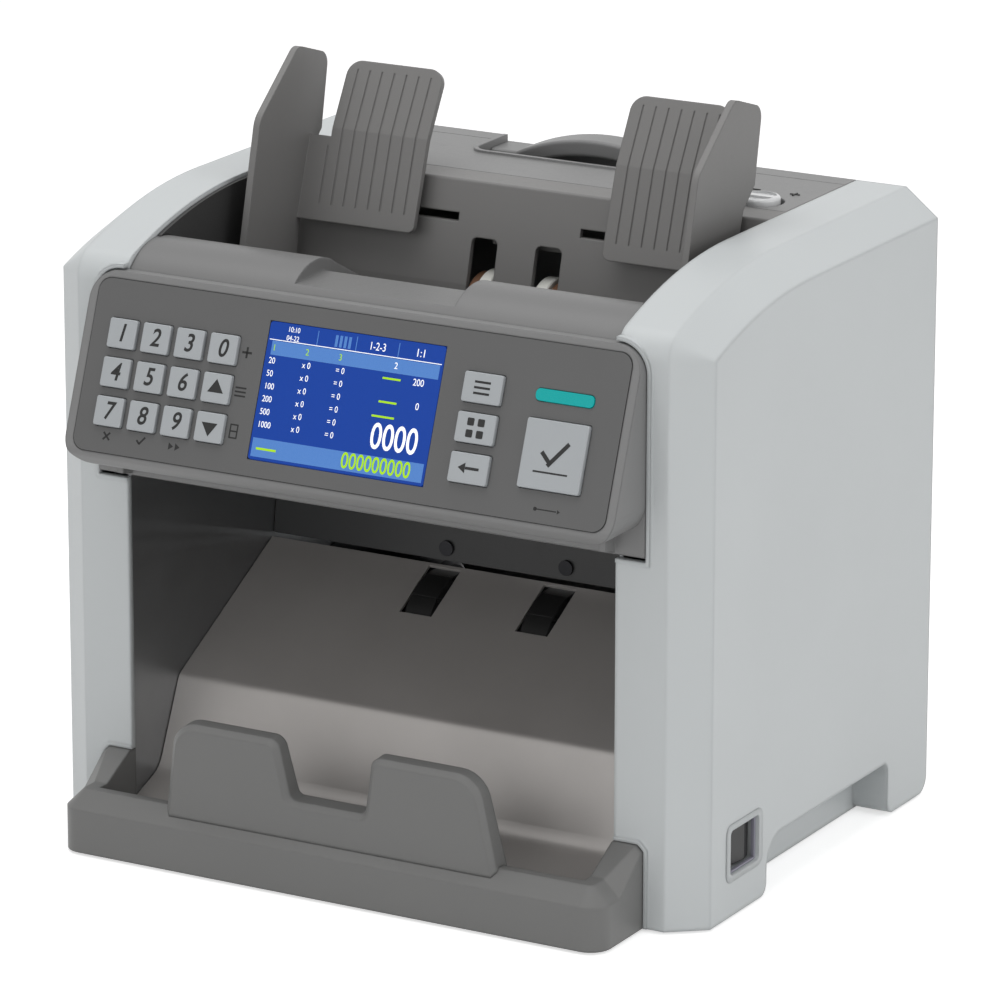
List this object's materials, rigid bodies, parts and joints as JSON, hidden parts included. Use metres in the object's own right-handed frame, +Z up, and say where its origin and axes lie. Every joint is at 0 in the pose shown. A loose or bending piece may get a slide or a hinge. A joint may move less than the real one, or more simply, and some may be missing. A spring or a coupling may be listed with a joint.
{
  "type": "banknote counting machine",
  "caption": "Desktop banknote counter with a top hopper between sliding note guides, a tilted keypad and display, an open stacking pocket and a front tray with a notched stop.",
  "frame": {"origin": "on the floor under the middle of the machine's bounding box", "axes": "+X to the machine's right as seen from the front, +Y to its back, +Z up"},
  "size_m": [0.2954, 0.2384, 0.3051],
  "materials": {
    "cover": "fine satin texture, light grey",
    "steel": "zinc-plated sheet",
    "rubber": "matt black",
    "tray": "fine texture, mid grey",
    "chute": "satin grey",
    "black": "satin black",
    "housing": "fine texture, grey",
    "overlay": "printed film, grey",
    "screen": "glossy, blue",
    "light": "translucent, teal",
    "board": "green solder mask",
    "dark": "fine texture, dark grey",
    "top": "fine texture, grey",
    "guide": "fine texture, dark grey",
    "nylon": "off-white",
    "knob": "satin silver",
    "shaft": "ground steel",
    "brown_rubber": "matt brown",
    "motor": "black zinc",
    "brass": "turned",
    "key": "satin light grey"
  },
  "bodies": {
    "housing": {"left_cover": "cover", "right_cover": "cover", "left_frame": "steel", "right_frame": "steel", "base_pan": "steel", "rubber_feet": "rubber", "front_tray": "tray", "stacker_stop": "tray", "pocket_chute": "chute", "exit_guide": "black", "inner_guide": "black", "control_housing": "housing", "panel_overlay": "overlay", "display": "screen", "status_light": "light", "control_board": "board", "front_roll": "housing", "hopper_plate": "dark", "hopper_liners": "dark", "top_cover": "top", "carry_handle": "top", "switch_bezel": "cover", "motor": "motor", "drive_belt": "rubber", "main_board": "board", "power_inlet": "black", "shaft_bearings": "nylon", "cover_screws": "steel"},
    "key_1": {"key_1": "key"},
    "key_2": {"key_2": "key"},
    "key_3": {"key_3": "key"},
    "key_0": {"key_0": "key"},
    "key_4": {"key_4": "key"},
    "key_5": {"key_5": "key"},
    "key_6": {"key_6": "key"},
    "key_up": {"key_up": "key"},
    "key_7": {"key_7": "key"},
    "key_8": {"key_8": "key"},
    "key_9": {"key_9": "key"},
    "key_down": {"key_down": "key"},
    "key_menu": {"key_menu": "key"},
    "key_function": {"key_function": "key"},
    "key_back": {"key_back": "key"},
    "key_confirm": {"key_confirm": "key"},
    "rocker": {"switch_rocker": "black"},
    "knob": {"adjuster_knob": "knob"},
    "left_note_guide": {"left_guide": "guide"},
    "right_note_guide": {"right_guide": "guide"},
    "pinion": {"guide_pinion": "nylon"},
    "door": {"rear_door": "top"},
    "pickup": {"pickup_shaft": "shaft", "pickup_rollers": "nylon", "pickup_tyres": "brown_rubber"},
    "transport": {"transport_roller": "rubber"},
    "pressure": {"pressure_roller": "shaft"},
    "stacker": {"stacker_shaft": "shaft", "stacker_wheels": "black", "stacker_pulley": "nylon"},
    "motor_rotor": {"motor_pulley": "brass"}
  },
  "joints": [
    {"name": "key_1_press", "type": "slide", "parent": "housing", "child": "key_1", "axis": [0, 0.9391, -0.3437], "range_m": [0, 0.001], "stiffness_N_per_m": 250},
    {"name": "key_2_press", "type": "slide", "parent": "housing", "child": "key_2", "axis": [0, 0.9391, -0.3437], "range_m": [0, 0.001], "stiffness_N_per_m": 250},
    {"name": "key_3_press", "type": "slide", "parent": "housing", "child": "key_3", "axis": [0, 0.9391, -0.3437], "range_m": [0, 0.001], "stiffness_N_per_m": 250},
    {"name": "key_0_press", "type": "slide", "parent": "housing", "child": "key_0", "axis": [0, 0.9391, -0.3437], "range_m": [0, 0.001], "stiffness_N_per_m": 250},
    {"name": "key_4_press", "type": "slide", "parent": "housing", "child": "key_4", "axis": [0, 0.9391, -0.3437], "range_m": [0, 0.001], "stiffness_N_per_m": 250},
    {"name": "key_5_press", "type": "slide", "parent": "housing", "child": "key_5", "axis": [0, 0.9391, -0.3437], "range_m": [0, 0.001], "stiffness_N_per_m": 250},
    {"name": "key_6_press", "type": "slide", "parent": "housing", "child": "key_6", "axis": [0, 0.9391, -0.3437], "range_m": [0, 0.001], "stiffness_N_per_m": 250},
    {"name": "key_up_press", "type": "slide", "parent": "housing", "child": "key_up", "axis": [0, 0.9391, -0.3437], "range_m": [0, 0.001], "stiffness_N_per_m": 250},
    {"name": "key_7_press", "type": "slide", "parent": "housing", "child": "key_7", "axis": [0, 0.9391, -0.3437], "range_m": [0, 0.001], "stiffness_N_per_m": 250},
    {"name": "key_8_press", "type": "slide", "parent": "housing", "child": "key_8", "axis": [0, 0.9391, -0.3437], "range_m": [0, 0.001], "stiffness_N_per_m": 250},
    {"name": "key_9_press", "type": "slide", "parent": "housing", "child": "key_9", "axis": [0, 0.9391, -0.3437], "range_m": [0, 0.001], "stiffness_N_per_m": 250},
    {"name": "key_down_press", "type": "slide", "parent": "housing", "child": "key_down", "axis": [0, 0.9391, -0.3437], "range_m": [0, 0.001], "stiffness_N_per_m": 250},
    {"name": "key_menu_press", "type": "slide", "parent": "housing", "child": "key_menu", "axis": [0, 0.9391, -0.3437], "range_m": [0, 0.001], "stiffness_N_per_m": 250},
    {"name": "key_function_press", "type": "slide", "parent": "housing", "child": "key_function", "axis": [0, 0.9391, -0.3437], "range_m": [0, 0.001], "stiffness_N_per_m": 250},
    {"name": "key_back_press", "type": "slide", "parent": "housing", "child": "key_back", "axis": [0, 0.9391, -0.3437], "range_m": [0, 0.001], "stiffness_N_per_m": 250},
    {"name": "key_confirm_press", "type": "slide", "parent": "housing", "child": "key_confirm", "axis": [0, 0.9391, -0.3437], "range_m": [0, 0.001], "stiffness_N_per_m": 250},
    {"name": "rocker_tilt", "type": "hinge", "parent": "housing", "child": "rocker", "pos_m": [0.1405, -0.0449, 0.0273], "axis": [0, 0, 1], "range_deg": [0, 12]},
    {"name": "knob_turn", "type": "hinge", "parent": "housing", "child": "knob", "pos_m": [0.0934, 0.0671, 0.25], "axis": [0, 0, 1], "range_deg": [-270, 270]},
    {"name": "left_guide_slide", "type": "slide", "parent": "housing", "child": "left_note_guide", "axis": [1, 0, 0], "range_m": [-0.006, 0.022]},
    {"name": "right_guide_slide", "type": "slide", "parent": "housing", "child": "right_note_guide", "axis": [-1, 0, 0], "range_m": [-0.006, 0.022]},
    {"name": "pinion_turn", "type": "hinge", "parent": "housing", "child": "pinion", "pos_m": [0, 0.0458, 0.24105], "axis": [0, 1, 0], "range_deg": [-60, 200]},
    {"name": "rear_door_swing", "type": "hinge", "parent": "housing", "child": "door", "pos_m": [0, 0.1132, 0.009], "axis": [-1, 0, 0], "range_deg": [0, 75]},
    {"name": "stacker_spin", "type": "hinge", "parent": "housing", "child": "stacker", "pos_m": [0, 0.0238, 0.067], "axis": [1, 0, 0], "continuous": true},
    {"name": "pickup_spin", "type": "hinge", "parent": "housing", "child": "pickup", "pos_m": [0, 0.0408, 0.204], "axis": [1, 0, 0], "continuous": true},
    {"name": "transport_spin", "type": "hinge", "parent": "housing", "child": "transport", "pos_m": [0, 0.0398, 0.165], "axis": [1, 0, 0], "continuous": true},
    {"name": "pressure_spin", "type": "hinge", "parent": "housing", "child": "pressure", "pos_m": [0, 0.0184, 0.165], "axis": [1, 0, 0], "continuous": true},
    {"name": "motor_spin", "type": "hinge", "parent": "housing", "child": "motor_rotor", "pos_m": [0, 0.0758, 0.06], "axis": [1, 0, 0], "continuous": true}
  ],
  "couplings": [
    {"joint": "right_guide_slide", "follows": "left_guide_slide", "ratio": 1},
    {"joint": "pinion_turn", "follows": "left_guide_slide", "rad_per_m": 142.86},
    {"joint": "pickup_spin", "follows": "stacker_spin", "ratio": 1.4},
    {"joint": "transport_spin", "follows": "stacker_spin", "ratio": 0.93748},
    {"joint": "pressure_spin", "follows": "stacker_spin", "ratio": -1.25},
    {"joint": "motor_spin", "follows": "stacker_spin", "ratio": 1.75}
  ]
}
